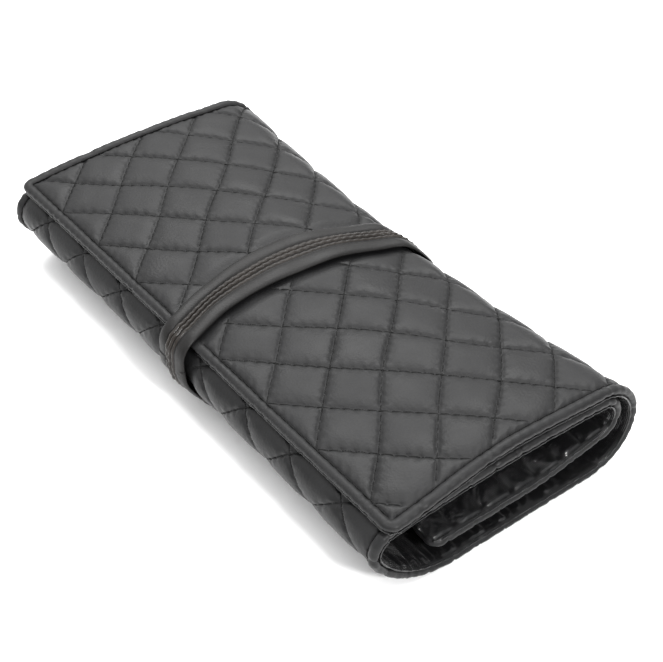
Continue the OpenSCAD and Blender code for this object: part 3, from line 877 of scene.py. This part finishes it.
elastic_last = s_inner_top + elastic_high[1] - crown_c[0]
ex, es = np.meshgrid(steps(pouch_low[0], pouch_high[0], 0.5), steps(pouch_last, elastic_last, 0.45))
across = (es - (pouch_last + elastic_last) / 2) / (elastic_last - pouch_last) * 2
round_top = np.sqrt(np.clip(1 - across ** 2, 0, 1))
ruche = 0.85 + 0.15 * np.sin(ex * 2 * math.pi / 2.9 + 0.6 * np.sin(ex / 5.0))
elastic = two_sided("top_pouch_elastic_band", on_sheet(ex, es, sheet_t + 0.3 + 2.5 * round_top * ruche),
    on_sheet(ex, es, sheet_t + 0.25 + 0 * ex), black_lining)
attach(elastic, "inner_top")
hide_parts("top_pouch_elastic")

# ---------------------------------------------------------------------------------------------
# Zips. Ribbed black tape lies across each pocket, with moulded metal teeth down its middle, a
# nickel slider that runs on the teeth and a flat pull that swings from the slider.
tape_cloth = satin_material("zip_tape_cloth", (0.016, 0.016, 0.017), 0.7)
nickel = plain_material("nickel_plate", (0.54, 0.53, 0.5), 0.27)
nickel_shader, nickel_links = nickel.node_tree.nodes["Principled BSDF"], nickel.node_tree.links
nickel_shader.inputs["Metallic"].default_value = 1.0
nickel_place = add_node(nickel, "ShaderNodeTexCoord")
nickel_marks = add_node(nickel, "ShaderNodeTexNoise", Scale=900.0, Detail=4.0)
nickel_links.new(nickel_place.outputs["Object"], nickel_marks.inputs["Vector"])
base_tones(nickel, nickel_marks, (0.42, 0.41, 0.39), (0.66, 0.65, 0.62))
nickel_gloss = add_node(nickel, "ShaderNodeMapRange", To_Min=0.18, To_Max=0.36)
nickel_links.new(nickel_marks.outputs["Fac"], nickel_gloss.inputs["Value"])
nickel_links.new(nickel_gloss.outputs["Result"], nickel_shader.inputs["Roughness"])


def eased(node, name, body, material, ease):
    """A hard little part with its edges worn round, in place of its plain CAD shape."""
    plain = frame["nodes"][node]
    made = bpy.data.objects.new(name, plain.data.copy())
    bpy.context.collection.objects.link(made)
    made.matrix_world = plain.matrix_world.copy()
    rounding = made.modifiers.new("eased_edges", "BEVEL")
    rounding.width = ease * MM
    rounding.segments = 3
    rounding.limit_method = "ANGLE"
    rounding.angle_limit = math.radians(35)
    shape = bpy.data.meshes.new_from_object(made.evaluated_get(bpy.context.evaluated_depsgraph_get()))
    made.modifiers.clear()
    made.data = shape
    made.data.materials.clear()
    made.data.materials.append(material)
    shape.polygons.foreach_set("material_index", [0] * len(shape.polygons))
    shape.polygons.foreach_set("use_smooth", [True] * len(shape.polygons))
    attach(made, body)
    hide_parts(node)
    return made


def zip_teeth(node, name, body):
    """Interlocked teeth: rounded lugs from either side in turn."""
    low, high = (np.array(corner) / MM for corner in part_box(node))
    middle = (low[1] + high[1]) / 2
    turn = np.radians(np.arange(8) * 45.0 + 22.5)
    ring = np.stack((0.62 * np.sign(np.cos(turn)) * np.abs(np.cos(turn)) ** 0.6,
        np.sign(np.sin(turn)) * np.abs(np.sin(turn)) ** 0.6), -1)
    points, faces = [], []
    for k, x in enumerate(np.arange(low[0] + 1, high[0] - 0.8, 1.25)):
        side = 1 if k % 2 else -1
        start = len(points)
        for reach, size in ((2.0, 0.72), (1.9, 1.0), (0.2, 1.0), (-0.75, 0.85), (-0.95, 0.45)):
            for a, b in ring:
                points.append((x + a * size * 0.95, middle + side * reach,
                    (low[2] + high[2]) / 2 + b * size * (high[2] - low[2]) / 2))
        faces += grid_faces(5, 8, start=start, round_columns=True, flip=side > 0)
        faces.append([start + c for c in range(8)][::side])
        faces.append([start + 32 + c for c in range(8)][::-side])
    made = mesh_from(name, np.array(points) * MM, faces, nickel)
    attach(made, body)
    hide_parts(node)
    return made


for which, body in (("base", "base"), ("end", "inner_end")):
    patch(f"{which}_zip_tape_cloth", f"{which}_zip_tape", body, 0.03, tape_cloth, 0.9)
    zip_teeth(f"{which}_zip_teeth", f"{which}_zip_metal_teeth", body)
    eased(f"{which}_zip_slider", f"{which}_zip_slider_body", f"{which}_slider", nickel, 0.35)
    eased(f"{which}_zip_pull", f"{which}_zip_pull_tab", f"{which}_pull", nickel, 0.25)

# ---------------------------------------------------------------------------------------------
# Ring bar. A stuffed leather roll for rings inside the front fold, sewn down at its far end and
# held at its near end by a leather tab with a nickel snap.
bar_low, bar_high = (np.array(corner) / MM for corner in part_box("ring_bar"))
bar_mid = (bar_low + bar_high) / 2
bar_r = (bar_high[2] - bar_low[2]) / 2
bar_round = 5.6
bar_turn = bar_round * (1 - np.cos(np.linspace(0, math.pi / 2, 9)))
bx = np.concatenate((bar_low[0] + bar_turn[:-1],
    steps(bar_low[0] + bar_round, bar_high[0] - bar_round, 1.0), bar_high[0] - bar_turn[:-1][::-1]))
from_end = np.clip(np.minimum(bx - bar_low[0], bar_high[0] - bx) / bar_round, 0.004, 1)
turn = np.radians(np.arange(0, 360, 7.5))
bxx, bt = np.meshgrid(bx, turn, indexing="ij")
girth = bar_r * np.sqrt(1 - (1 - from_end[:, None]) ** 2)
tucks = 0.05 * np.sin(bt * 12) * np.exp(-(from_end[:, None] - 0.3) ** 2 / 0.1)
seam = -0.10 * np.exp(-((np.abs((bt - 4.0 + math.pi) % (2 * math.pi) - math.pi)) / 0.12) ** 2)
wave = 0.012 * np.sin(bxx / 3.7 + 2 * np.sin(bt)) * np.cos(bt * 2 + bxx / 9.0)
swell = girth * (0.985 + tucks + seam + wave)
bar_points = laid_flat(bxx, bar_mid[1] + swell * np.cos(bt), bar_mid[2] + swell * np.sin(bt))
bar_faces = grid_faces(len(bx), len(turn), round_columns=True)
bar_faces.append(list(range(len(turn)))[::-1])
bar_faces.append([(len(bx) - 1) * len(turn) + k for k in range(len(turn))])
bar_leather = leather_material(
    "bar_leather", (0.0125, 0.0125, 0.0128), 0.45, 0.0008, 0.00007, crumple=0.00015
)
ring_bar = mesh_from("ring_bar_leather", bar_points, bar_faces, bar_leather)
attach(ring_bar, "base")
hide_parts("ring_bar")

eased("ring_bar_anchor", "ring_bar_anchor_leather", "base", bar_leather, 0.25)
eased("ring_bar_tab", "ring_bar_tab_leather", "bar_tab", bar_leather, 0.35)
eased("snap_cap", "snap_cap_metal", "bar_tab", nickel, 0.35)
eased("snap_stud", "snap_stud_metal", "base", nickel, 0.2)
